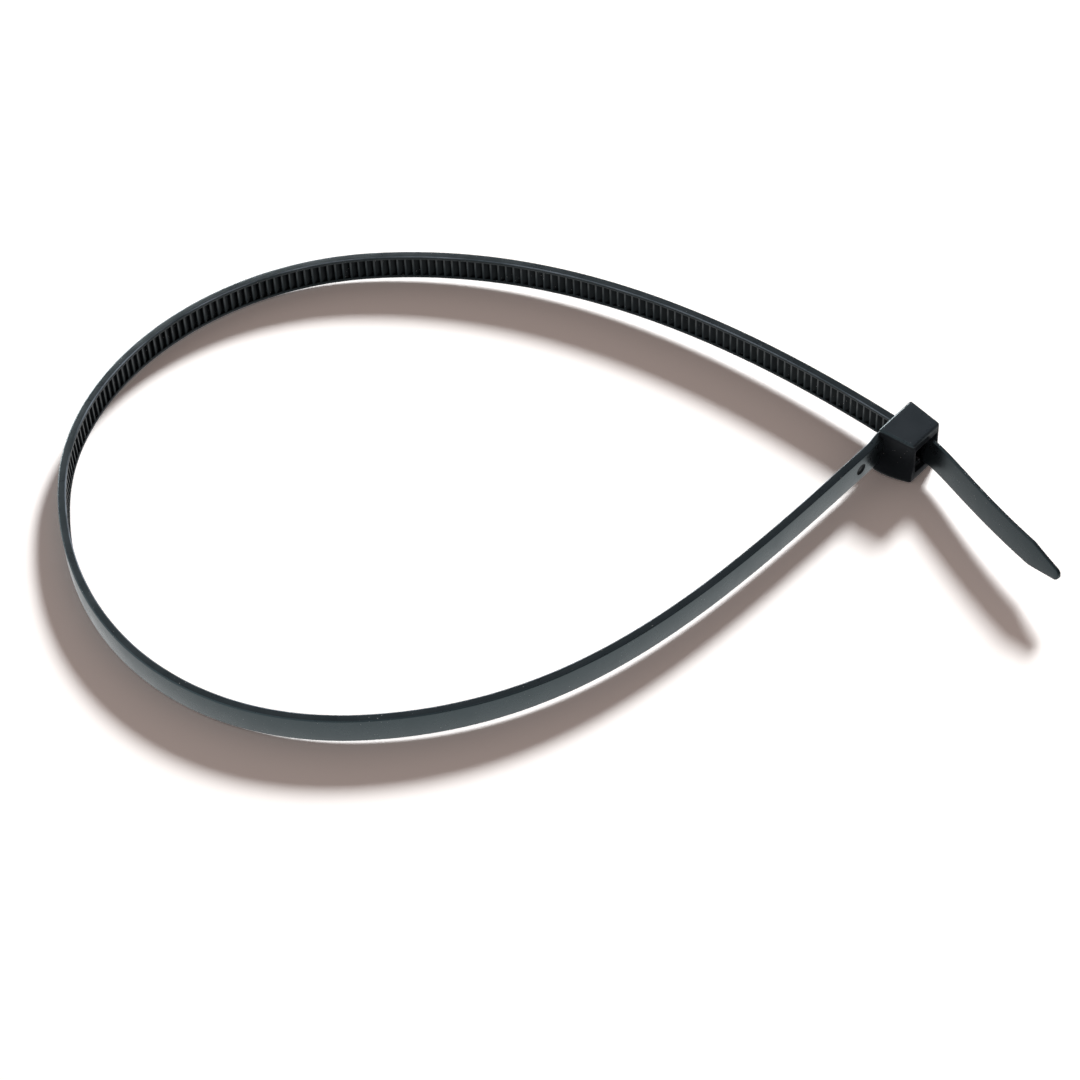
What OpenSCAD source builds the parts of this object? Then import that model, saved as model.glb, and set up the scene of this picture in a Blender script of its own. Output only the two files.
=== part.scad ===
// Toothed strap closed into a loose loop through its own head.
// The head's underside and the far end of the loop rest on z = 0.

/* [Loop] */
// From the far end of the loop to the head's inner corner, along the strap's middle.
loop_reach = 125.2; // [110:1:150]
// Width of the loop, along the strap's middle.
loop_w = 91.9; // [80:1:105]
// Turn of the head in the plane of the loop, in degrees.
head_turn = 45; // [42:1:48]
// Free tail past the head.
tail_len = 31.6; // [22:1:45]
// Turn of the tail's tip away from the head, in degrees.
tail_turn = 9; // [6:1:12]

/* [Strap] */
// Width of the strap, its height when the loop lies down.
strap_w = 4.8; // [4.4:0.1:5.4]
// Thickness of the strap.
strap_t = 1.3; // [1.2:0.05:1.5]
// Smooth edge strip on each side of the teeth.
rail_w = 0.6; // [0.4:0.05:0.8]
// Spacing of the teeth.
tooth_pitch = 1.27; // [1.2:0.01:1.6]
// Depth of the teeth.
tooth_h = 0.5; // [0.35:0.05:0.6]
// How far the teeth stay below the smooth edge strips.
tooth_set = 0.06; // [0.04:0.01:0.1]
// Share of the spacing that is flat crest.
crest_share = 0.3; // [0.2:0.05:0.4]
// Smooth strap between the head and the first tooth.
smooth_root = 12; // [8:1:20]
// Width of the tail where the tip starts to taper.
tail_w = 4.5; // [4.1:0.1:4.6]
// Thickness of the smooth tail.
tail_t = 0.65; // [0.5:0.05:0.7]
// Lean of the tail in the slot, its upper edge away from the toothed side, in degrees.
tail_lean = 10; // [6:1:11]
// Length of the taper at the tip.
tip_len = 6; // [5:0.5:9]
// Width of the tip's rounded end.
tip_w = 2.1; // [1.4:0.1:2.4]
// Radius of the shallow round mark by the head.
mark_r = 1; // [0.7:0.05:1.1]
// Depth of the round mark.
mark_depth = 0.2; // [0.1:0.05:0.3]
// From the head to the middle of the round mark.
mark_from_head = 5.4; // [4.5:0.1:7]

/* [Head] */
// Head size along the root of the strap, half way through.
head_l = 7.2; // [7:0.1:8]
// How far each side of the head leans out towards the side that the strap enters.
head_flare = 0.38; // [0.2:0.02:0.4]
// Head size along the slot.
head_d = 6.4; // [6:0.1:7.5]
// Head height.
head_h = 8.4; // [8:0.1:9.4]
// Rounding of the head's edges.
edge_r = 0.4; // [0.2:0.05:0.5]
// Rounding of the head's lower edges.
under_r = 1; // [0.5:0.1:1.2]
// How far the lower lip stands out under the root of the strap.
lip_out = 1.25; // [0.8:0.05:1.4]
// Height at which the lip has run out into the hollow side.
lip_h = 4.4; // [4:0.1:4.8]
// Radius that rounds the lip away towards the tail.
lip_sweep_r = 11; // [9:0.5:14]
// Height of the lip above and below the hollow side.
brim = 0.8; // [0.6:0.1:1]
// Depth of the hollow side.
waist_depth = 0.25; // [0.2:0.05:0.4]
// From the hollow side to the middle of the slot.
slot_pos = 4.2; // [4.1:0.05:4.4]
// Depth of the recess that the tail leaves through.
recess_depth = 0.9; // [0.5:0.1:1.2]
// Wall beside the latch.
side_wall = 1; // [0.8:0.05:1.1]
// How far the strap's toothed face stands proud of the head.
root_step = 0.3; // [0.1:0.05:0.4]
// Thickening of the root where it runs into the head.
root_swell = 0.3; // [0.1:0.05:0.4]
// How far that thickening reaches along the strap.
root_run = 2.4; // [2:0.1:3]

/* [Latch] */
// Thickness of the latch at its root.
latch_t = 0.8; // [0.6:0.05:0.9]
// Solid depth at the slot's mouth, where the latch is rooted.
latch_root = 1.1; // [0.9:0.1:1.4]
// Gap between the strap and the slot.
slot_clear = 0.15; // [0.1:0.05:0.2]
// Gap between the latch's teeth and the strap's.
mesh_clear = 0.08; // [0.06:0.01:0.1]

/* [Hidden] */
$fn = 48;
samples = 48;
eps = 0.5;
root_in = 1;
margin = 0.15;
exit_gap = 0.3;
tail_straight = 2.5;
tail_lap = 0.8;
rail_lap = 0.5;
lip_inset = 0.3;
lip_full = 1.5;
lip_foot = 0.03;
latch_room = 0.35;
latch_bite = 0.2;
outer_step = 2 * tooth_pitch;
drop = (head_h - strap_w) / 2;
core_w = strap_w - 2 * rail_w;
half_t = strap_t / 2;
crest_l = tooth_pitch * crest_share;
root_y = half_t - root_step;
slot_w = strap_t + 2 * slot_clear;
side_turn = atan(2 * head_flare / head_d);

// Left end of the loop is x = 0 here, and y = 0 is half way across the loop.
corner = [loop_reach, 0.019 * loop_w];
root_at = in_head([0, -root_y]);
slot_at = in_head([slot_pos, 0]);
exit_at = in_head([slot_pos, -head_d]);
near_at = [0.368 * loop_reach, -loop_w / 2];
end_at = [0, 0.022 * loop_w];
far_at = [0.384 * loop_reach, loop_w / 2];
slot_dir = head_turn - 90;
tip_dir = slot_dir - tail_turn;
tip_at = exit_at + tail_straight * ray(slot_dir) + (tail_len - tail_straight) * ray(slot_dir - 1.7 * tail_turn);

// Smooth curves, one after the other, from inside the head to the tip.
curves = [
    curve(in_head([root_in, -root_y]), head_turn + 180, root_in / 3, root_at, head_turn + 180, root_in / 3),
    curve(root_at, head_turn + 180, 0.307 * loop_reach, near_at, 180, 0.2525 * loop_reach),
    curve(near_at, 180, 0.2227 * loop_reach, end_at, 90, 0.289 * loop_w),
    curve(end_at, 90, 0.2554 * loop_w, far_at, 0, 0.2094 * loop_reach),
    curve(far_at, 0, 0.2224 * loop_reach, slot_at, slot_dir, 0.3008 * loop_reach),
    curve(slot_at, slot_dir, head_d / 3, exit_at, slot_dir, head_d / 3),
    curve(exit_at, slot_dir, 0.12 * tail_len, tip_at, tip_dir, 0.55 * tail_len)
];
path = concat(
    [bez(curves[0], 0)],
    [for (c = curves, i = [1:samples]) bez(c, i / samples)]
);
turns = concat(
    [bez_turn(curves[0], 0)],
    [for (c = curves, i = [1:samples]) bez_turn(c, i / samples)]
);
runs = run_lengths(path);
x_of = [for (i = [0:len(path) - 1]) [runs[i], path[i][0]]];
y_of = [for (i = [0:len(path) - 1]) [runs[i], path[i][1]]];
turn_of = [for (i = [0:len(path) - 1]) [runs[i], turns[i]]];
strap_len = runs[len(runs) - 1];
slot_run = runs[5 * samples];
exit_run = runs[6 * samples];

first_tooth = root_in + smooth_root;
teeth = floor((exit_run - exit_gap - first_tooth) / tooth_pitch);
last_tooth = first_tooth + teeth * tooth_pitch;
latch_first = ceil((slot_run + latch_root + tooth_pitch - first_tooth) / tooth_pitch);
latch_teeth = floor((head_d - recess_depth - latch_root - tooth_pitch) / tooth_pitch);

// Centre of the box in the plane of the loop, and the small tilt at rest.
mid_x = (tip_at[0] + tail_t / 2 * abs(sin(tip_dir)) - half_t) / 2;
rest_tilt = atan(drop / (corner[0] + half_t));
rest_lift = -(corner[0] - mid_x) * sin(rest_tilt);

function ray(a) = [cos(a), sin(a)];
function in_head(p) = corner + p[0] * ray(head_turn) + p[1] * ray(head_turn + 90);
function curve(a, a_dir, a_pull, b, b_dir, b_pull) =
    [a, a + a_pull * ray(a_dir), b - b_pull * ray(b_dir), b];
function bez(c, t) =
    pow(1 - t, 3) * c[0] + 3 * pow(1 - t, 2) * t * c[1]
    + 3 * (1 - t) * t * t * c[2] + pow(t, 3) * c[3];
function bez_slope(c, t) =
    pow(1 - t, 2) * (c[1] - c[0]) + 2 * (1 - t) * t * (c[2] - c[1]) + t * t * (c[3] - c[2]);
function unwound(a) = a < -110 ? a + 360 : a;
function bez_turn(c, t) = unwound(atan2(bez_slope(c, t)[1], bez_slope(c, t)[0]));
function run_lengths(p) = [
    for (i = 0, run = 0; i < len(p); i = i + 1, run = run + (i < len(p) ? norm(p[i] - p[i - 1]) : 0)) run
];
// Point on the strap, a run along it and a distance to the outside of the loop.
function beside(run, out) =
    [lookup(run, x_of), lookup(run, y_of)] + out * ray(lookup(run, turn_of) + 90);
function stations(a, b) =
    let (n = max(1, round((b - a) / outer_step))) [for (i = [0:n]) a + (b - a) * i / n];
function flipped(p) = [for (i = [len(p) - 1:-1:0]) p[i]];

// Levels of the toothed face: on the edge strips, on the teeth and between them.
rail_face = -half_t;
crest_face = rail_face + tooth_set;
foot_face = crest_face + tooth_h;

rail_end = last_tooth - rail_lap;
outer_side = [for (s = stations(0, rail_end)) beside(s, half_t)];
rail_side = [for (s = stations(0, rail_end)) beside(s, rail_face)];
toothed_side = concat(
    [for (s = stations(0, first_tooth)) beside(s, crest_face)],
    [for (k = [0:teeth - 1], j = [k == 0 ? 1 : 0:2])
        let (s = first_tooth + k * tooth_pitch)
        j == 0 ? beside(s, crest_face)
        : j == 1 ? beside(s + crest_l, crest_face)
        : beside(s + tooth_pitch, foot_face)]
);
tail_start = last_tooth - tail_lap;
tail_outer = [for (s = stations(tail_start, strap_len)) beside(s, tail_t / 2)];
tail_inner = [for (s = stations(tail_start, strap_len)) beside(s, -tail_t / 2)];

module rounded_rect(w, h, r, low_r) {
    polygon([
        [low_r, 0], [w - low_r, 0], [w, low_r], [w, h - r],
        [w - r, h], [r, h], [0, h - r], [0, low_r]
    ]);
    for (x = [r, w - r])
        translate([x, h - r])
            circle(r = r);
    for (x = [low_r, w - low_r])
        translate([x, low_r])
            circle(r = low_r);
}

module strap_blank() {
    translate([0, 0, drop]) {
        for (z = [0, strap_w - rail_w])
            translate([0, 0, z])
                linear_extrude(height = rail_w)
                    polygon(concat(outer_side, flipped(rail_side)));
        translate([0, 0, rail_w])
            linear_extrude(height = core_w)
                polygon(concat(outer_side, [beside(last_tooth, half_t)], flipped(toothed_side)));
    }
}

// Everything beside the narrowing tail and its tip, seen from the outside of the loop.
module tip_waste() {
    long = 0.8 * tail_len;
    slope = (strap_w - tail_w) / 2 / (long - tip_len);
    translate([tip_at[0], tip_at[1], head_h / 2])
        rotate([0, 0, tip_dir])
            rotate([90, 0, 0])
                linear_extrude(height = 10 * strap_t, center = true)
                    difference() {
                        translate([-long - 2, -strap_w])
                            square([long + 3, 2 * strap_w]);
                        polygon([
                            [-long - 3, -strap_w / 2 - 3 * slope],
                            [-tip_len, -tail_w / 2],
                            [-tip_w / 2, -tip_w / 2],
                            [-tip_w / 2, tip_w / 2],
                            [-tip_len, tail_w / 2],
                            [-long - 3, strap_w / 2 + 3 * slope]
                        ]);
                        translate([-tip_w / 2, 0])
                            circle(d = tip_w);
                    }
}

module round_mark() {
    mark_run = root_in + mark_from_head;
    spot = beside(mark_run, half_t - mark_depth);
    translate([spot[0], spot[1], head_h / 2])
        rotate([0, 0, lookup(mark_run, turn_of)])
            rotate([-90, 0, 0])
                cylinder(r = mark_r, h = 1);
}

module strap() {
    difference() {
        strap_blank();
        round_mark();
    }
}

// Smooth tail, leaning as far as the slot lets it.
module tail() {
    translate([exit_at[0], exit_at[1], head_h / 2])
        rotate([0, 0, slot_dir])
            rotate([-tail_lean, 0, 0])
                rotate([0, 0, -slot_dir])
                    translate([-exit_at[0], -exit_at[1], -head_h / 2])
                        difference() {
                            translate([0, 0, drop])
                                linear_extrude(height = strap_w)
                                    polygon(concat(tail_outer, flipped(tail_inner)));
                            tip_waste();
                        }
}

// One side of the head, rounded above and below and reaching past the other side.
module side_bar(turn) {
    rotate([0, 0, turn])
        translate([0, head_d / 2 + 2, 0])
            rotate([90, 0, 0])
                linear_extrude(height = head_d + 4)
                    rounded_rect(1.6 * head_l, head_h, edge_r, under_r);
}

module head_block() {
    cut = edge_r + 2 * margin;
    entry = head_flare + margin;
    leaving = head_flare - margin;
    intersection() {
        translate([0, -head_d / 2, 0])
            side_bar(side_turn);
        translate([head_l, -head_d / 2, 0])
            side_bar(180 - side_turn);
        translate([-1, -head_d, 0])
            rotate([90, 0, 90])
                linear_extrude(height = head_l + 2)
                    rounded_rect(head_d, head_h, edge_r, under_r);
        translate([0, 0, -eps])
            linear_extrude(height = head_h + 2 * eps)
                polygon([
                    [cut - entry, margin],
                    [head_l + entry - cut, margin],
                    [head_l + entry, margin - cut],
                    [head_l - leaving, cut - margin - head_d],
                    [head_l - leaving - cut, -margin - head_d],
                    [leaving + cut, -margin - head_d],
                    [leaving, cut - margin - head_d],
                    [-entry, margin - cut]
                ]);
    }
}

// Side that the root leaves from, hollowed between the two lips.
module waist() {
    half_span = head_h / 2 - brim;
    waist_r = (half_span * half_span + waist_depth * waist_depth) / (2 * waist_depth);
    translate([0, -head_d / 2, 0])
        rotate([0, 0, side_turn])
            translate([waist_depth - waist_r, head_d / 2 + 2, head_h / 2])
                rotate([90, 0, 0])
                    cylinder(r = waist_r, h = head_d + 4, $fn = 160);
}

module slot_space() {
    slot_h = strap_w + 2 * slot_clear;
    latch_space = slot_pos - slot_w / 2 - side_wall - waist_depth;
    translate([slot_pos - slot_w / 2, -head_d - eps, (head_h - slot_h) / 2])
        cube([slot_w, head_d + 2 * eps, slot_h]);
    translate([side_wall + waist_depth, -head_d - eps, (head_h - core_w) / 2])
        cube([latch_space + slot_w / 2, head_d + eps - latch_root, core_w]);
    translate([side_wall, -head_d - eps, (head_h - slot_h) / 2])
        cube([head_l - 2 * side_wall, recess_depth + eps, slot_h]);
}

// Lower lip on the root's side, rounded under and rounded away towards the tail.
module lower_lip() {
    lip_root = side_wall - head_flare;
    translate([0, -head_d / 2, 0])
        rotate([0, 0, side_turn])
            intersection() {
                translate([lip_sweep_r - lip_out, head_d / 2 - lip_full, -eps])
                    cylinder(r = lip_sweep_r, h = head_h, $fn = 120);
                translate([0, head_d / 2 - lip_inset, 0])
                    rotate([90, 0, 0])
                        linear_extrude(height = head_d - 2 * lip_inset)
                            polygon([
                                [lip_root, lip_foot],
                                [-0.85 * lip_out, lip_foot],
                                [-lip_out, 0.045 * lip_h],
                                [-1.08 * lip_out, 0.115 * lip_h],
                                [-1.04 * lip_out, 0.225 * lip_h],
                                [-0.85 * lip_out, 0.365 * lip_h],
                                [-0.5 * lip_out, 0.545 * lip_h],
                                [-0.18 * lip_out, 0.73 * lip_h],
                                [lip_root, lip_h]
                            ]);
            }
}

// Latch, rooted at the slot's mouth, its teeth standing in the strap's gaps.
module latch() {
    base = slot_pos + crest_face - mesh_clear;
    foot = side_wall + waist_depth + latch_room;
    end_y = -(first_tooth + (latch_first + latch_teeth - 1) * tooth_pitch - slot_run) + mesh_clear;
    translate([0, 0, (head_h - core_w) / 2 + slot_clear])
        linear_extrude(height = core_w - 2 * slot_clear) {
            polygon([
                [foot, -latch_root + latch_bite],
                [foot + latch_t, -latch_root + latch_bite],
                [base, -latch_root - tooth_pitch / 2],
                [base, end_y],
                [base - latch_t, end_y]
            ]);
            for (k = [0:latch_teeth - 1]) {
                steep = -(first_tooth + (latch_first + k) * tooth_pitch - slot_run) + mesh_clear;
                polygon([
                    [base - latch_bite / 2, steep],
                    [base + tooth_h - mesh_clear, steep],
                    [base, steep + tooth_pitch - crest_l - mesh_clear],
                    [base - latch_bite / 2, steep + tooth_pitch - crest_l - mesh_clear]
                ]);
            }
        }
}

// Swelling where the strap's proud face runs into the head.
module root_blend() {
    swell = root_step + root_swell;
    translate([0, 0, drop + tooth_set])
        linear_extrude(height = strap_w - 2 * tooth_set)
            polygon([
                [-root_run, root_step / 3],
                [-0.375 * root_run, 0.8 * swell],
                [0.125 * root_run, swell],
                [0.46 * root_run, 0.6 * swell],
                [0.875 * root_run, -0.25 * swell],
                [0.875 * root_run, -strap_t / 2],
                [-root_run, -strap_t / 2]
            ]);
}

module head() {
    translate([corner[0], corner[1], 0])
        rotate([0, 0, head_turn]) {
            difference() {
                head_block();
                waist();
                slot_space();
            }
            latch();
            lower_lip();
            root_blend();
        }
}

module cable_tie() {
    color([0.035, 0.038, 0.04])
        translate([0, 0, rest_lift])
            rotate([0, -rest_tilt, 0])
                translate([-mid_x, 0, 0]) {
                    strap();
                    tail();
                    head();
                }
}

cable_tie();
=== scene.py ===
"""Looks of the toothed strap loop: rounded strap, teeth, head and latch, on a white floor."""

import math

import bmesh
import bpy
import numpy as np
from mathutils import Matrix, Vector


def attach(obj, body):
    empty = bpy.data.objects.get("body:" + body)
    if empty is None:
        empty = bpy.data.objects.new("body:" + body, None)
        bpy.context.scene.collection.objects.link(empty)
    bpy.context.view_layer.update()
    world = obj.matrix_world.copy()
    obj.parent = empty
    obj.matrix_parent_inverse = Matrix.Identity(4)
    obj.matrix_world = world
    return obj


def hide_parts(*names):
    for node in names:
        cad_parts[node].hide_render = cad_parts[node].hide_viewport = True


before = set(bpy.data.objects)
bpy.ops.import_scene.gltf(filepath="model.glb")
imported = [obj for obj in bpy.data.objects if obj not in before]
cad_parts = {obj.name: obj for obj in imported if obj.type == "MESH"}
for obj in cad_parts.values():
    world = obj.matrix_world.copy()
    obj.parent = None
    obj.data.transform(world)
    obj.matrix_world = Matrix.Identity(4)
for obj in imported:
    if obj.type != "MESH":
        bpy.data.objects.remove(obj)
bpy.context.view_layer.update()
MM = 0.001

# Sizes in millimetres, the same as the solid's.
LOOP_REACH, LOOP_W, HEAD_TURN = 125.2, 91.9, 45.0
TAIL_LEN, TAIL_TURN, TAIL_STRAIGHT = 31.6, 9.0, 2.5
TAIL_W, TAIL_T, TAIL_LEAN = 4.5, 0.65, 10.0
TIP_LEN, TIP_W = 6.0, 2.1
STRAP_W, STRAP_T, RAIL_W = 4.8, 1.3, 0.6
PITCH, TOOTH_H, TOOTH_SET, SMOOTH_ROOT = 1.27, 0.5, 0.06, 12.0
CREST_L = 0.3 * PITCH
MARK_R, MARK_DEPTH, MARK_FROM_HEAD = 1.0, 0.2, 5.4
HEAD_L, HEAD_D, HEAD_H, EDGE_R, UNDER_R = 7.2, 6.4, 8.4, 0.4, 1.0
HEAD_FLARE, BRIM, WAIST = 0.38, 0.8, 0.25
LIP_OUT, LIP_FULL, LIP_SWEEP_R = 1.25, 1.5, 11.0
SLOT_POS, RECESS, SIDE_WALL, SLOT_CLEAR, EXIT_GAP = 4.2, 0.9, 1.0, 0.15, 0.3
LATCH_T, LATCH_ROOT, LATCH_ROOM, LATCH_BITE, MESH_CLEAR = 0.8, 1.1, 0.35, 0.2, 0.08
ROOT_STEP, ROOT_SWELL, ROOT_IN = 0.3, 0.3, 1.0

HALF_T = STRAP_T / 2
CREST, FOOT = HALF_T - TOOTH_SET, HALF_T - TOOTH_H - TOOTH_SET
ROOT_Y = HALF_T - ROOT_STEP
Z_MID = HEAD_H / 2
DROP = (HEAD_H - STRAP_W) / 2
SLOT_DIR = HEAD_TURN - 90
TIP_DIR = SLOT_DIR - TAIL_TURN


# Loop: where the strap runs.
def ray(a):
    return np.array([math.cos(math.radians(a)), math.sin(math.radians(a))])


CORNER = np.array([LOOP_REACH, 0.019 * LOOP_W])


def in_head(x, y):
    return CORNER + x * ray(HEAD_TURN) + y * ray(HEAD_TURN + 90)


def curve(a, a_dir, a_pull, b, b_dir, b_pull):
    return [a, a + a_pull * ray(a_dir), b - b_pull * ray(b_dir), b]


def traced(curves, samples=400):
    """Points along the curves, the direction at each in degrees, and where each curve ends."""
    points, turns, ends = [], [], []
    for k, c in enumerate(curves):
        t = np.linspace(0, 1, samples + 1)[(0 if k == 0 else 1):, None]
        u = 1 - t
        q = u ** 2 * (c[1] - c[0]) + 2 * u * t * (c[2] - c[1]) + t * t * (c[3] - c[2])
        points.append(u ** 3 * c[0] + 3 * u ** 2 * t * c[1] + 3 * u * t * t * c[2] + t ** 3 * c[3])
        turns.append(np.degrees(np.arctan2(q[:, 1], q[:, 0])))
        ends.append(sum(len(x) for x in points) - 1)
    turns = np.concatenate(turns)
    return np.concatenate(points), np.where(turns < -110, turns + 360, turns), ends


root_at, slot_at = in_head(0, -ROOT_Y), in_head(SLOT_POS, 0)
exit_at = in_head(SLOT_POS, -HEAD_D)
near_at = np.array([0.368 * LOOP_REACH, -LOOP_W / 2])
end_at = np.array([0, 0.022 * LOOP_W])
far_at = np.array([0.384 * LOOP_REACH, LOOP_W / 2])
tip_at = (exit_at + TAIL_STRAIGHT * ray(SLOT_DIR)
          + (TAIL_LEN - TAIL_STRAIGHT) * ray(SLOT_DIR - 1.7 * TAIL_TURN))
BACK = HEAD_TURN + 180

# Root, near side, far end, far side, slot and tail. Each pull is a share of a size that it follows.
path, turns, ends = traced([
    curve(in_head(ROOT_IN, -ROOT_Y), BACK, ROOT_IN / 3, root_at, BACK, ROOT_IN / 3),
    curve(root_at, BACK, 0.307 * LOOP_REACH, near_at, 180, 0.2525 * LOOP_REACH),
    curve(near_at, 180, 0.2227 * LOOP_REACH, end_at, 90, 0.289 * LOOP_W),
    curve(end_at, 90, 0.2554 * LOOP_W, far_at, 0, 0.2094 * LOOP_REACH),
    curve(far_at, 0, 0.2224 * LOOP_REACH, slot_at, SLOT_DIR, 0.3008 * LOOP_REACH),
    curve(slot_at, SLOT_DIR, HEAD_D / 3, exit_at, SLOT_DIR, HEAD_D / 3),
    curve(exit_at, SLOT_DIR, 0.12 * TAIL_LEN, tip_at, TIP_DIR, 0.55 * TAIL_LEN),
])
SLOT_END, EXIT_END = 4, 5
runs = np.r_[0, np.cumsum(np.hypot(*np.diff(path, axis=0).T))]
strap_len = runs[-1]
slot_run, exit_run = runs[ends[SLOT_END]], runs[ends[EXIT_END]]
first_tooth = ROOT_IN + SMOOTH_ROOT
teeth = math.floor((exit_run - EXIT_GAP - first_tooth) / PITCH)
last_tooth = first_tooth + teeth * PITCH
latch_first = math.ceil((slot_run + LATCH_ROOT + PITCH - first_tooth) / PITCH)
latch_teeth = math.floor((HEAD_D - RECESS - LATCH_ROOT - PITCH) / PITCH)

# Rest: the loop tilts until it lies on the head's lower corner and its far end.
mid_x = (tip_at[0] + TAIL_T / 2 * abs(math.sin(math.radians(TIP_DIR))) - HALF_T) / 2
tilt = math.atan(DROP / (CORNER[0] + HALF_T))
lift = -(CORNER[0] - mid_x) * math.sin(tilt)


def at_run(s):
    """The strap's middle after s mm, and the direction to its outer face."""
    spot = np.array([np.interp(s, runs, path[:, 0]), np.interp(s, runs, path[:, 1])])
    return spot, ray(np.interp(s, runs, turns) + 90)


def settled(p):
    """From the level loop to the place where it rests, in metres."""
    p = np.atleast_2d(np.asarray(p, float))
    x, z = p[:, 0] - mid_x, p[:, 2]
    return np.c_[x * math.cos(tilt) - z * math.sin(tilt), p[:, 1],
                 x * math.sin(tilt) + z * math.cos(tilt) + lift] * MM


# Meshes.
def make_object(name, points, faces):
    mesh = bpy.data.meshes.new(name)
    mesh.from_pydata([tuple(v) for v in points], [], faces)
    mesh.validate()
    obj = bpy.data.objects.new(name, mesh)
    bpy.context.scene.collection.objects.link(obj)
    return obj


def tube_faces(rings, n):
    """Quads between rings of n points, ring by ring, and then the two end faces."""
    quads = [(i * n + j, i * n + (j + 1) % n, (i + 1) * n + (j + 1) % n, (i + 1) * n + j)
             for i in range(rings - 1) for j in range(n)]
    return quads + [tuple(reversed(range(n))), tuple((rings - 1) * n + j for j in range(n))]


def outward(obj):
    bm = bmesh.new()
    bm.from_mesh(obj.data)
    bmesh.ops.recalc_face_normals(bm, faces=bm.faces)
    bm.to_mesh(obj.data)
    bm.free()


def bake(obj):
    graph = bpy.context.evaluated_depsgraph_get()
    mesh = bpy.data.meshes.new_from_object(obj.evaluated_get(graph))
    obj.modifiers.clear()
    obj.data = mesh


def cut(obj, tool):
    outward(tool)
    m = obj.modifiers.new("cut", "BOOLEAN")
    m.operation, m.solver, m.object = "DIFFERENCE", "EXACT", tool
    bake(obj)
    bpy.data.objects.remove(tool)


def sweep(rows):
    """Points in level millimetres and faces of one section after the other."""
    points = []
    for s, ring in rows:
        spot, side = at_run(s)
        points += [(spot[0] + o * side[0], spot[1] + o * side[1], Z_MID + z) for o, z in ring]
    return np.array(points), tube_faces(len(rows), len(rows[0][1]))


# Node helpers.
def grey(a):
    return (a, a, a)


def noise(tree, where, scale, detail, rough=0.5):
    x = tree.nodes.new("ShaderNodeTexNoise")
    x.inputs["Scale"].default_value = scale
    x.inputs["Detail"].default_value = detail
    x.inputs["Roughness"].default_value = rough
    tree.links.new(where, x.inputs["Vector"])
    return x.outputs["Fac"]


def ramp(tree, fac, stops):
    x = tree.nodes.new("ShaderNodeValToRGB")
    while len(x.color_ramp.elements) < len(stops):
        x.color_ramp.elements.new(0.5)
    for stop, (place, colour) in zip(x.color_ramp.elements, stops):
        stop.position, stop.color = place, (*colour, 1)
    tree.links.new(fac, x.inputs["Fac"])
    return x.outputs["Color"]


def mix(tree, fac, a, b):
    """Colour a where fac is 0 and b where it is 1. Each is a colour or another node's output."""
    x = tree.nodes.new("ShaderNodeMix")
    x.data_type = "RGBA"
    tree.links.new(fac, x.inputs["Factor"])
    for name, value in (("A", a), ("B", b)):
        if isinstance(value, tuple):
            x.inputs[name].default_value = (*value, 1)
        else:
            tree.links.new(value, x.inputs[name])
    return x.outputs["Result"]


def times(tree, a, b):
    x = tree.nodes.new("ShaderNodeMath")
    x.operation = "MULTIPLY"
    tree.links.new(a, x.inputs[0])
    tree.links.new(b, x.inputs[1])
    return x.outputs[0]


def bump(tree, height, strength, distance, below=None):
    x = tree.nodes.new("ShaderNodeBump")
    x.inputs["Strength"].default_value = strength
    x.inputs["Distance"].default_value = distance
    tree.links.new(height, x.inputs["Height"])
    if below is not None:
        tree.links.new(below, x.inputs["Normal"])
    return x.outputs["Normal"]


# Nylon: faint flow streaks, lighter edges (rubbed wear and a painted highlight), dust and a fine moulded
# grain.
SPECULAR_TINT = (0.69, 0.93, 1.0, 1)
DARK_TINT, LIGHT_TINT = (0.74, 0.94, 1.12), (0.78, 0.93, 1.12)
# Colour of the lighter edges: rubbed wear and a painted highlight.
EDGE_WEAR_AND_HIGHLIGHT = (0.226, 0.25, 0.26)
DUST = (0.34, 0.35, 0.35)


def streaks(tree, where, base):
    dark, light = base
    cloud = noise(tree, where, scale=120, detail=4)
    return ramp(tree, cloud, [(0.3, tuple(dark * c for c in DARK_TINT)),
                              (0.7, tuple(light * c for c in LIGHT_TINT))])


def edge_wear_and_highlight(tree, where, reach, edge_amount):
    """Lighter patches, up to the given amount, where the surface turns within reach metres: rubbed wear and
    a painted highlight.
    """
    soft = tree.nodes.new("ShaderNodeBevel")
    soft.samples = 6
    soft.inputs["Radius"].default_value = reach
    facing = tree.nodes.new("ShaderNodeNewGeometry")
    agree = tree.nodes.new("ShaderNodeVectorMath")
    agree.operation = "DOT_PRODUCT"
    tree.links.new(soft.outputs["Normal"], agree.inputs[0])
    tree.links.new(facing.outputs["Normal"], agree.inputs[1])
    edge = ramp(tree, agree.outputs["Value"], [(0.90, grey(1)), (0.985, grey(0))])
    cloud = noise(tree, where, scale=420, detail=4, rough=0.7)
    patches = ramp(tree, cloud, [(0.47, grey(0)), (0.57, grey(edge_amount))])
    return times(tree, edge, patches)


def dust_specks(tree, where):
    specks = tree.nodes.new("ShaderNodeTexVoronoi")
    specks.inputs["Scale"].default_value = 1500
    tree.links.new(where, specks.inputs["Vector"])
    near = ramp(tree, specks.outputs["Distance"], [(0.05, grey(1)), (0.12, grey(0))])
    some = ramp(tree, noise(tree, where, scale=310, detail=2), [(0.52, grey(0)), (0.58, grey(1))])
    return times(tree, near, some)


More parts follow.
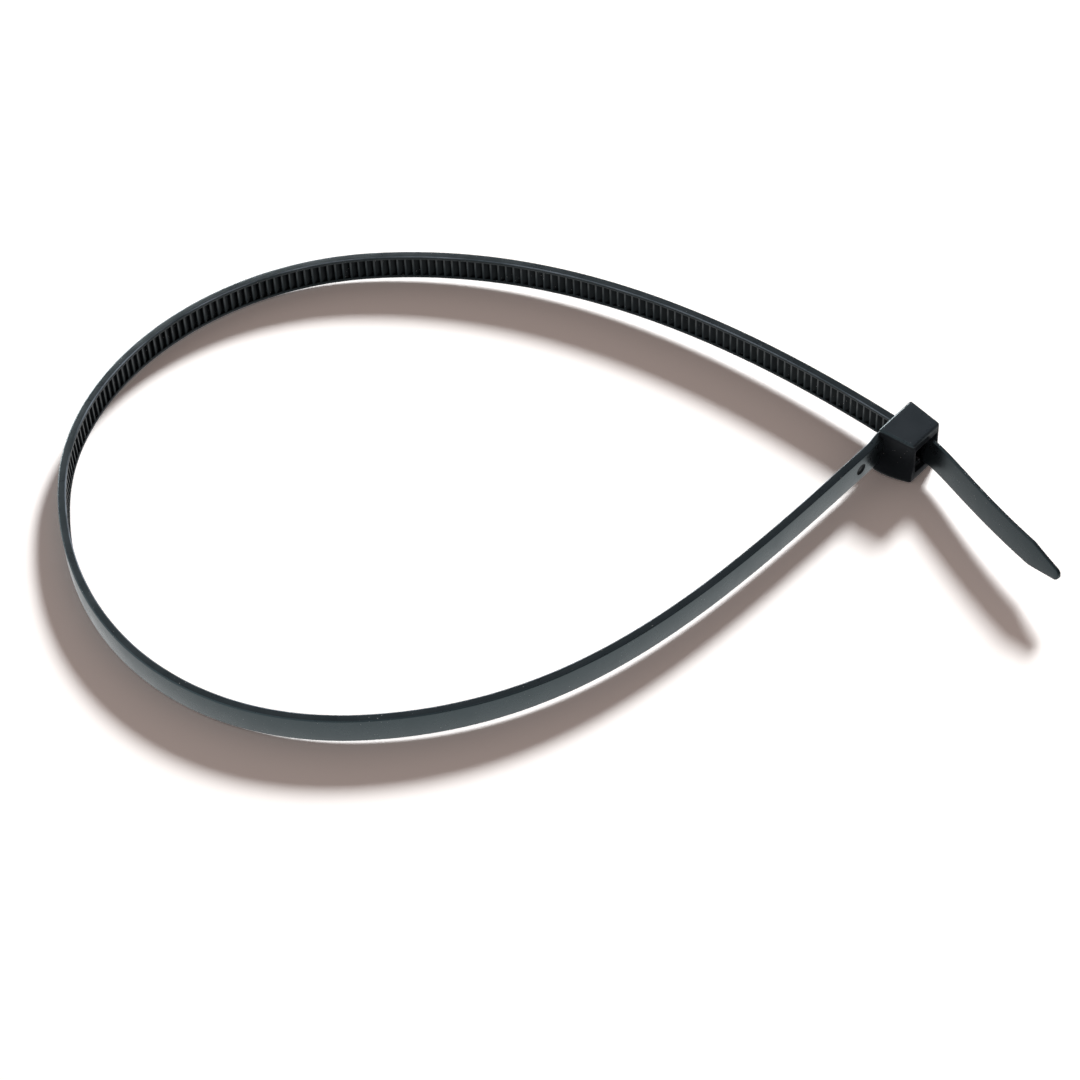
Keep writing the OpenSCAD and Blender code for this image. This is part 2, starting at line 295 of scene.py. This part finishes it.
def nylon(name, ior, rough, base, edge_amount, wear_and_highlight=EDGE_WEAR_AND_HIGHLIGHT, reach=0.00016):
    """One region's nylon. rough and base are ranges, and the edge colour is that of its lighter edges:
    rubbed wear and a painted highlight.
    """
    m = bpy.data.materials.new(name)
    m.use_nodes = True
    tree = m.node_tree
    shader = tree.nodes["Principled BSDF"]
    shader.inputs["IOR"].default_value = ior
    shader.inputs["Specular Tint"].default_value = SPECULAR_TINT
    where = tree.nodes.new("ShaderNodeTexCoord").outputs["Object"]
    colour = mix(tree, edge_wear_and_highlight(tree, where, reach, edge_amount), streaks(tree, where, base), wear_and_highlight)
    colour = mix(tree, dust_specks(tree, where), colour, DUST)
    tree.links.new(colour, shader.inputs["Base Color"])
    patches = noise(tree, where, scale=260, detail=5, rough=0.6)
    sheen = ramp(tree, patches, [(0.3, grey(rough[0])), (0.7, grey(rough[1]))])
    tree.links.new(sheen, shader.inputs["Roughness"])
    fine, broad = noise(tree, where, scale=2600, detail=4), noise(tree, where, scale=240, detail=2)
    grain = bump(tree, fine, strength=0.22, distance=0.00004)
    wave = bump(tree, broad, strength=0.25, distance=0.0001, below=grain)
    tree.links.new(wave, shader.inputs["Normal"])
    return m


# Edge colours of the strap's band, the crests and the head's top: rubbed wear and a painted highlight. The
# head sides' edge colour is darker: painted shade as well.
BAND_WEAR_AND_HIGHLIGHT, CREST_WEAR_AND_HIGHLIGHT = (0.31, 0.34, 0.35), (0.141, 0.158, 0.166)
TOP_WEAR_AND_HIGHLIGHT, SIDE_WEAR_AND_HIGHLIGHT_IN_SHADE = (0.127, 0.141, 0.152), (0.07, 0.079, 0.087)
HEAD_REACH = 0.0005
satin = nylon("nylon_satin", 1.70, (0.22, 0.36), (0.0127, 0.019), 0.6)
thin = nylon("nylon_tail", 1.50, (0.22, 0.36), (0.0127, 0.019), 0.7)
band = nylon("nylon_band", 1.38, (0.24, 0.40), (0.0113, 0.017), 1.0, BAND_WEAR_AND_HIGHLIGHT)
# Rim: light streaks along the inner top rounding: rubbed wear and a painted highlight.
rim_wear_and_highlight = nylon("nylon_rim_wear_and_highlight", 1.50, (0.24, 0.40), (0.014, 0.24), 0.0)
block = nylon("nylon_head", 1.29, (0.24, 0.40), (0.021, 0.032), 0.9, TOP_WEAR_AND_HIGHLIGHT, HEAD_REACH)
# Head sides: a darker, duller copy of the head's nylon, a painted shade, with darker edges too.
shade = nylon("nylon_head_sides_painted_shade", 1.08, (0.28, 0.44), (0.018, 0.027), 0.9, SIDE_WEAR_AND_HIGHLIGHT_IN_SHADE, HEAD_REACH)
fillet = nylon("nylon_rounding", 1.46, (0.20, 0.32), (0.021, 0.032), 0.9, TOP_WEAR_AND_HIGHLIGHT, HEAD_REACH)
edging = nylon("nylon_edging", 1.29, (0.38, 0.52), (0.0085, 0.014), 0.7)
# Gaps: darker and duller than the crests: painted shade in the tooth gaps, the mark's walls and the latch.
gaps = nylon("nylon_gaps_painted_shade", 1.18, (0.40, 0.60), (0.0042, 0.0099), 0.0)
crests = nylon("nylon_crests", 1.33, (0.34, 0.48), (0.0099, 0.0155), 0.4, CREST_WEAR_AND_HIGHLIGHT)


def dress(obj, looks):
    for look in looks:
        obj.data.materials.append(look)


# Strap: one section swept along the run.
STRAP_LOOKS = [satin, edging, gaps, crests, band, rim_wear_and_highlight]
OUT_R, IN_R, RIM_W = 0.2, 0.1, 0.07
RAIL_SLOPE, RAIL_STEP, CORE_IN = 0.07, 0.05, 0.02
ROOT_ROWS, ROOT_GAP = 44, 0.2
SWELL_TO, SWELL_L = 2.6, 2.9
TIP_LEAST = 0.12

# Looks round one section: outer rounding, edge, inner rounding, rail, and None for the teeth.
SIDE = [satin] * 4 + [band] + [rim_wear_and_highlight] * 4 + [edging] * 2 + [None]
AROUND = SIDE + [None] + SIDE[::-1] + [satin]

# A tooth's steep back and the end of its crest, with small roundings: place in the pitch, and height.
TOOTH_BACK = [(-0.035, FOOT), (-0.01, FOOT + 0.04), (0.015, CREST - 0.04), (0.055, CREST)]
TOOTH_FRONT = [(CREST_L - 0.05, CREST), (CREST_L + 0.04, CREST - 0.035)]


def strap_section(rail, core, half_w):
    """Outline with its rails and its core that far in from the middle, at a given half width."""
    k = min(1.0, half_w / (STRAP_W / 2))
    r_out, r_in = OUT_R * min(1, k + 0.1), IN_R * min(1, k + 0.1)
    r_in = min(r_in, (HALF_T + rail) / 3)
    up = [(HALF_T - r_out + r_out * math.cos(a), half_w - r_out + r_out * math.sin(a))
          for a in np.radians([0, 22.5, 45, 67.5, 90])]
    up.append((-rail + r_in + RIM_W * k, half_w))
    up += [(-rail + r_in - r_in * math.sin(a), half_w - r_in + r_in * math.cos(a))
           for a in np.radians([0, 30, 60, 90])]
    edge = half_w - RAIL_W * k
    up += [(-rail, edge + RAIL_SLOPE * k), (-rail + min(RAIL_STEP, rail - core), edge),
           (-core, edge - CORE_IN * k)]
    down = [(o, -z) for o, z in reversed(up)]
    return up + down


def half_width(s):
    """Half the strap's width after s mm, down to the round tip."""
    left = strap_len - s
    if left < TIP_W / 2:
        d = TIP_W / 2 - left
        return max(TIP_LEAST, math.sqrt(max(0, (TIP_W / 2) ** 2 - d * d)))
    if left < TIP_LEN:
        return (TIP_W + (TAIL_W - TIP_W) * (left - TIP_W / 2) / (TIP_LEN - TIP_W / 2)) / 2
    taper = 0.8 * TAIL_LEN
    if left < taper:
        return (TAIL_W + (STRAP_W - TAIL_W) * (left - TIP_LEN) / (taper - TIP_LEN)) / 2
    return STRAP_W / 2


def smoothstep(x):
    x = min(max(x, 0.0), 1.0)
    return x * x * (3 - 2 * x)


def strap_stations():
    """Run, rail and core of each section: the smooth root, then tooth by tooth."""
    stations = []
    for s in np.linspace(0, first_tooth - ROOT_GAP, ROOT_ROWS):
        swell = ROOT_SWELL * smoothstep((ROOT_IN + SWELL_TO - s) / SWELL_L)
        stations.append((s, HALF_T + swell, CREST + swell))
    for k in range(teeth):
        for d, core in (TOOTH_BACK if k else []) + TOOTH_FRONT:
            stations.append((first_tooth + k * PITCH + d, HALF_T, core))
    return stations + [(last_tooth, HALF_T, FOOT)]


def make_strap():
    stations = strap_stations()
    points, faces = sweep([(s, strap_section(rail, core, half_width(s))) for s, rail, core in stations])
    strap = make_object("strap", settled(points), faces)
    dress(strap, STRAP_LOOKS)
    cores = [core for s, rail, core in stations]
    for k, f in enumerate(strap.data.polygons):
        i, j = divmod(k, len(AROUND))
        if i == len(stations) - 1:
            break
        # Faces off the crests take the darker gaps look: painted shade between the teeth.
        on_crest = min(cores[i], cores[i + 1]) > CREST - 0.01
        f.material_index = STRAP_LOOKS.index(AROUND[j] or (crests if on_crest else gaps))
    outward(strap)
    cut(strap, dish_tool())
    return strap


# Round mark: a shallow dish in the strap's outer face by the head.
DISH = ((0.6, 1.05), (-0.02, 1), (-0.4 * MARK_DEPTH, 0.93), (-0.8 * MARK_DEPTH, 0.72),
        (-MARK_DEPTH, 0.45), (-0.75 * MARK_DEPTH, 0.2))
DISH_SIDES = 36


def dish_tool():
    spot, side = at_run(ROOT_IN + MARK_FROM_HEAD)
    across = np.array([-side[1], side[0]])
    points = []
    for out, share in DISH:
        r = MARK_R * share
        for a in np.radians(np.arange(0, 360, 360 / DISH_SIDES)):
            xy = spot + side * (HALF_T + out) + across * r * math.cos(a)
            points.append((xy[0], xy[1], Z_MID + r * math.sin(a)))
    tool = make_object("mark", settled(points), tube_faces(len(DISH), DISH_SIDES))
    dress(tool, STRAP_LOOKS)
    floor_from = DISH_SIDES * (len(DISH) - 2)
    # The dish's walls take the darkest gaps look and its floor the darker edging look: painted shade in the
    # recess.
    for k, f in enumerate(tool.data.polygons):
        f.material_index = STRAP_LOOKS.index(edging if k >= floor_from else gaps)
    return tool


# Tail: thin and flat, leaning in the slot.
TAIL_R = 0.14
TIP_THIN, TIP_SHARE = 0.35, 0.55
TAIL_BACK, TAIL_ROWS, TIP_ROWS = 0.8, 44, 14


def flat_section(half_t, half_w):
    r = min(TAIL_R, half_t * 0.45, half_w * 0.8)
    corners = [(half_t - r, half_w - r, 0), (r - half_t, half_w - r, 90),
               (r - half_t, r - half_w, 180), (half_t - r, r - half_w, 270)]
    return [(o + r * math.cos(a), z + r * math.sin(a))
            for o, z, turn in corners
            for a in np.radians([turn, turn + 22.5, turn + 45, turn + 67.5, turn + 90])]


def leaned(p):
    """The tail turned about the slot's direction, as far as the slot lets it."""
    d, side = ray(SLOT_DIR), ray(SLOT_DIR + 90)
    at = p[:, :2] - exit_at
    run, out, up = at @ d, at @ side, p[:, 2] - Z_MID
    c, s = math.cos(math.radians(TAIL_LEAN)), math.sin(math.radians(TAIL_LEAN))
    out, up = out * c + up * s, up * c - out * s
    return np.c_[exit_at + run[:, None] * d + out[:, None] * side, Z_MID + up]


def make_tail():
    round_tip = np.sin(np.radians([12, 24, 36, 48, 60, 70, 78, 84, 88, 90]))
    rows = []
    for s in np.r_[np.linspace(last_tooth - TAIL_BACK, strap_len - TIP_LEN, TAIL_ROWS),
                   np.linspace(strap_len - TIP_LEN, strap_len - TIP_W / 2, TIP_ROWS)[1:],
                   strap_len - TIP_W / 2 * (1 - round_tip)]:
        near = min(1.0, (strap_len - s) / TIP_THIN)
        squeeze = TIP_SHARE + (1 - TIP_SHARE) * math.sqrt(max(0, 1 - (1 - near) ** 2))
        rows.append((s, flat_section(TAIL_T / 2 * squeeze, half_width(s))))
    points, faces = sweep(rows)
    tail = make_object("tail", settled(leaned(points)), faces)
    outward(tail)
    dress(tail, [thin])
    return tail


# Head: a side profile run across, its ends rounded, then hollowed.
HEAD_LOOKS = [block, shade, fillet]
END_R, SOFT_EDGE, BEYOND = 0.45, 0.12, 0.5
UNDER_STEPS, EDGE_STEPS, END_STEPS, MIDDLE_LAYERS = 6, 4, 4, 7
LIP = ((0.14, 3.2), (0.45, 2.5), (0.72, 1.9), (0.88, 1.4), (0.97, 1.0), (1, 0.7), (0.98, 0.42), (0.91, 0.2),
       (0.78, 0.07), (0.5, 0.03), (-0.3, 0.0))


def arc(x, z, r, start, end, steps):
    return [(x + r * math.cos(a), z + r * math.sin(a))
            for a in np.radians(np.linspace(start, end, steps + 1))]


def head_profile():
    """Outline seen along the slot: outer side, top, waisted inner side and lip."""
    p = arc(HEAD_L - UNDER_R, UNDER_R, UNDER_R, -90, 0, UNDER_STEPS)
    p += arc(HEAD_L - EDGE_R, HEAD_H - EDGE_R, EDGE_R, 0, 90, EDGE_STEPS)
    p += arc(EDGE_R, HEAD_H - EDGE_R, EDGE_R, 90, 180, EDGE_STEPS)
    p += [(0.02, HEAD_H - BRIM), (0.1, HEAD_H - BRIM - 0.35), (0.19, HEAD_H - BRIM - 1),
          (WAIST, HEAD_H - BRIM - 1.9), (WAIST - 0.02, 4.6), (0.1, 3.9)]
    p += [(-share * LIP_OUT, z) for share, z in LIP]
    return np.array(p)


def head_point(x, y, z):
    xy = in_head(x, y)
    return (xy[0], xy[1], z)


def head_box(x0, x1, y0, half_z):
    """A tool from y0 out through the head's tail side, half_z above and below its middle."""
    corners = [head_point(x, y, Z_MID + z)
               for x in (x0, x1) for y in (y0, -HEAD_D - BEYOND) for z in (-half_z, half_z)]
    faces = [(0, 1, 3, 2), (4, 6, 7, 5), (0, 4, 5, 1), (2, 3, 7, 6), (0, 2, 6, 4), (1, 5, 7, 3)]
    return make_object("cut", settled(corners), faces)


def head_block():
    """The head before it is hollowed, with a look for its top, for its sides (darker and duller: painted
    shade) and for its upper roundings.
    """
    profile = head_profile()
    along = np.roll(profile, -1, 0) - np.roll(profile, 1, 0)
    inward = np.c_[-along[:, 1], along[:, 0]] / np.linalg.norm(along, axis=1)[:, None]
    end = [(END_R * (1 - math.cos(a)), END_R * (1 - math.sin(a)))
           for a in np.radians(np.linspace(0, 90, END_STEPS + 1))]
    layers = end + [(depth, 0.0) for depth in np.linspace(1, HEAD_D - 1, MIDDLE_LAYERS)]
    layers += [(HEAD_D - depth, inset) for depth, inset in reversed(end)]
    points = []
    for depth, inset in layers:
        reach = max(0.0, 1 - (depth - LIP_FULL) ** 2 / (2 * LIP_SWEEP_R * LIP_OUT))
        lean = HEAD_FLARE * (2 * depth / HEAD_D - 1)
        for x, z in profile + inward * inset:
            x = x * reach if x < 0 else x
            points.append(head_point(x + (lean if x < HEAD_L / 2 else -lean), -depth, z))
    head = make_object("head", settled(points), tube_faces(len(layers), len(profile)))
    outward(head)
    dress(head, HEAD_LOOKS)
    top = UNDER_STEPS + EDGE_STEPS + 1
    for k, f in enumerate(head.data.polygons):
        i, j = divmod(k, len(profile))
        at_end = i < END_STEPS or i >= len(layers) - 1 - END_STEPS
        rounded = j != top or at_end
        on_top = i < len(layers) - 1 and abs(j - top) <= EDGE_STEPS
        # Faces turned away from the top take the darker side look: painted shade.
        look = fillet if on_top and rounded else shade if f.normal.z < 0.5 else block
        f.material_index = HEAD_LOOKS.index(look)
    return head


def make_head():
    head = head_block()
    slot_half_w, slot_half_h = HALF_T + SLOT_CLEAR, STRAP_W / 2 + SLOT_CLEAR
    cut(head, head_box(SLOT_POS - slot_half_w, SLOT_POS + slot_half_w, BEYOND, slot_half_h))
    cut(head, head_box(SIDE_WALL + WAIST, SLOT_POS, -LATCH_ROOT, STRAP_W / 2 - RAIL_W))
    cut(head, head_box(SIDE_WALL, HEAD_L - SIDE_WALL, -HEAD_D + RECESS, slot_half_h))
    soft = head.modifiers.new("soft", "BEVEL")
    soft.width, soft.segments = SOFT_EDGE * MM, 2
    soft.limit_method, soft.angle_limit = "ANGLE", math.radians(60)
    bake(head)
    return head


# Latch: its teeth stand in the strap's gaps.
def latch_outline():
    base = SLOT_POS - CREST - MESH_CLEAR
    foot = SIDE_WALL + WAIST + LATCH_ROOM
    start = -LATCH_ROOT + LATCH_BITE
    outline = [(foot, start), (foot + LATCH_T, start), (base, -LATCH_ROOT - PITCH / 2)]
    for k in range(latch_teeth):
        steep = -(first_tooth + (latch_first + k) * PITCH - slot_run) + MESH_CLEAR
        outline += [(base, steep + PITCH - CREST_L - MESH_CLEAR), (base + TOOTH_H - MESH_CLEAR, steep),
                    (base, steep - 0.01)]
    return outline + [(base - LATCH_T, steep - 0.01)]


def make_latch():
    outline = latch_outline()
    half = STRAP_W / 2 - RAIL_W - SLOT_CLEAR
    points = [head_point(x, y, Z_MID + z) for z in (-half, half) for x, y in outline]
    latch = make_object("latch", settled(points), tube_faces(2, len(outline)))
    outward(latch)
    # The latch takes the darker gaps look: painted shade inside the head.
    dress(latch, [gaps])
    return latch


SHARP_FROM = math.radians(38)
tail, strap, head, latch = make_tail(), make_strap(), make_head(), make_latch()
for obj in (strap, tail, head, latch):
    for f in obj.data.polygons:
        f.use_smooth = True
    obj.data.set_sharp_from_angle(angle=SHARP_FROM)
    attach(obj, "root")
    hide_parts("cable_tie")


# Floor: white to the camera with the loop's shadow, plain and bright in reflections.
PAPER, PAPER_SHOWN = (0.86, 0.85, 0.845), (1.21, 1.20, 1.19)


def make_floor():
    bpy.ops.mesh.primitive_plane_add(size=6, location=(0, 0, 0))
    floor = bpy.context.object
    floor.name = "floor"
    paper = bpy.data.materials.new("paper")
    paper.use_nodes = True
    tree = paper.node_tree
    shader = tree.nodes["Principled BSDF"]
    shader.inputs["Roughness"].default_value = 0.9
    shader.inputs["Specular IOR Level"].default_value = 0.0
    seen_by = tree.nodes.new("ShaderNodeLightPath")
    shown = mix(tree, seen_by.outputs["Is Camera Ray"], PAPER, PAPER_SHOWN)
    tree.links.new(shown, shader.inputs["Base Color"])
    spot = tree.nodes.new("ShaderNodeNewGeometry")
    away = tree.nodes.new("ShaderNodeVectorMath")
    away.operation = "LENGTH"
    tree.links.new(spot.outputs["Position"], away.inputs[0])
    white = tree.nodes.new("ShaderNodeEmission")
    white.inputs["Strength"].default_value = 1.0
    fade = ramp(tree, away.outputs["Value"], [(0.11, grey(1.0)), (0.30, grey(0.12))])
    tree.links.new(fade, white.inputs["Color"])
    both = tree.nodes.new("ShaderNodeMixShader")
    tree.links.new(seen_by.outputs["Is Glossy Ray"], both.inputs[0])
    tree.links.new(shader.outputs[0], both.inputs[1])
    tree.links.new(white.outputs[0], both.inputs[2])
    tree.links.new(both.outputs[0], tree.nodes["Material Output"].inputs["Surface"])
    floor.data.materials.append(paper)
    return floor


floor = make_floor()

# World: a warm fill for the surfaces, and in reflections a sky that is brighter to the left.
FILL, WHITE = (0.256, 0.206, 0.188), (1, 1, 1)
SKY_TONES = ((0.0, 0.08), (0.5, 0.44), (1.0, 0.96))


def make_world():
    world = bpy.data.worlds.new("studio")
    bpy.context.scene.world = world
    world.use_nodes = True
    tree = world.node_tree
    seen_by = tree.nodes.new("ShaderNodeLightPath")
    way = tree.nodes.new("ShaderNodeTexCoord")
    split = tree.nodes.new("ShaderNodeSeparateXYZ")
    tree.links.new(way.outputs["Generated"], split.inputs["Vector"])
    leftward = tree.nodes.new("ShaderNodeMath")
    leftward.operation = "MULTIPLY_ADD"
    leftward.inputs[1].default_value, leftward.inputs[2].default_value = -0.9, 0.5
    tree.links.new(split.outputs["X"], leftward.inputs[0])
    sky = ramp(tree, leftward.outputs[0], [(at, (0.92 * tone, tone, 1.04 * tone)) for at, tone in SKY_TONES])
    lit = mix(tree, seen_by.outputs["Is Glossy Ray"], FILL, sky)
    shown = mix(tree, seen_by.outputs["Is Camera Ray"], lit, WHITE)
    tree.links.new(shown, tree.nodes["Background"].inputs["Color"])


make_world()


# Lamps: the key gives the shadow and is left out of reflections.
def lamp(name, place, size, power, target=(0, 0, 0)):
    d = bpy.data.lights.new(name, "AREA")
    d.shape, d.size, d.energy = "DISK", size, power
    o = bpy.data.objects.new(name, d)
    bpy.context.scene.collection.objects.link(o)
    o.location = place
    o.rotation_mode = "QUATERNION"
    o.rotation_quaternion = (Vector(target) - Vector(place)).to_track_quat("-Z", "Y")
    return o


key = lamp("key", (0.80, 1.58, 1.00), size=0.42, power=65)
key.visible_glossy = False

# Low strip far behind: it only draws thin lights along rounded edges.
strip = lamp("strip", (-0.60, 1.30, 0.40), size=1.1, power=30, target=(0.02, 0, 0))
strip.data.shape, strip.data.size_y = "RECTANGLE", 0.37
strip.visible_diffuse = False

# Camera, found from the photo's edges, in the level loop's own place.
PHOTO_SIZE, SENSOR = 1080, 36
FOCAL, ELEVATION, AWAY, ROLL = 3500.0, 51.03, 531.0, -3.34
AIM = (72.51, -10.99, DROP)


def make_camera():
    e, r = math.radians(ELEVATION), math.radians(ROLL)
    right = Vector((1, 0, 0))
    ahead = Vector((0, math.cos(e), -math.sin(e)))
    up = right.cross(ahead)
    rolled_right = right * math.cos(r) + up * math.sin(r)
    rolled_up = up * math.cos(r) - right * math.sin(r)
    lean = Matrix.Rotation(-tilt, 3, "Y")
    axes = Matrix([lean @ rolled_right, lean @ rolled_up, lean @ -ahead]).transposed()
    eye = np.array(AIM) + np.array([0, -AWAY * math.cos(e), AWAY * math.sin(e)])
    camera = bpy.data.objects.new("camera", bpy.data.cameras.new("camera"))
    bpy.context.scene.collection.objects.link(camera)
    camera.data.sensor_width = SENSOR
    camera.data.lens = FOCAL / PHOTO_SIZE * SENSOR
    camera.data.clip_start, camera.data.clip_end = 0.01, 20
    camera.location = Vector(settled(eye)[0])
    camera.rotation_mode = "QUATERNION"
    camera.rotation_quaternion = axes.to_quaternion()
    bpy.context.scene.camera = camera


make_camera()
bpy.context.scene.view_settings.view_transform = "Standard"
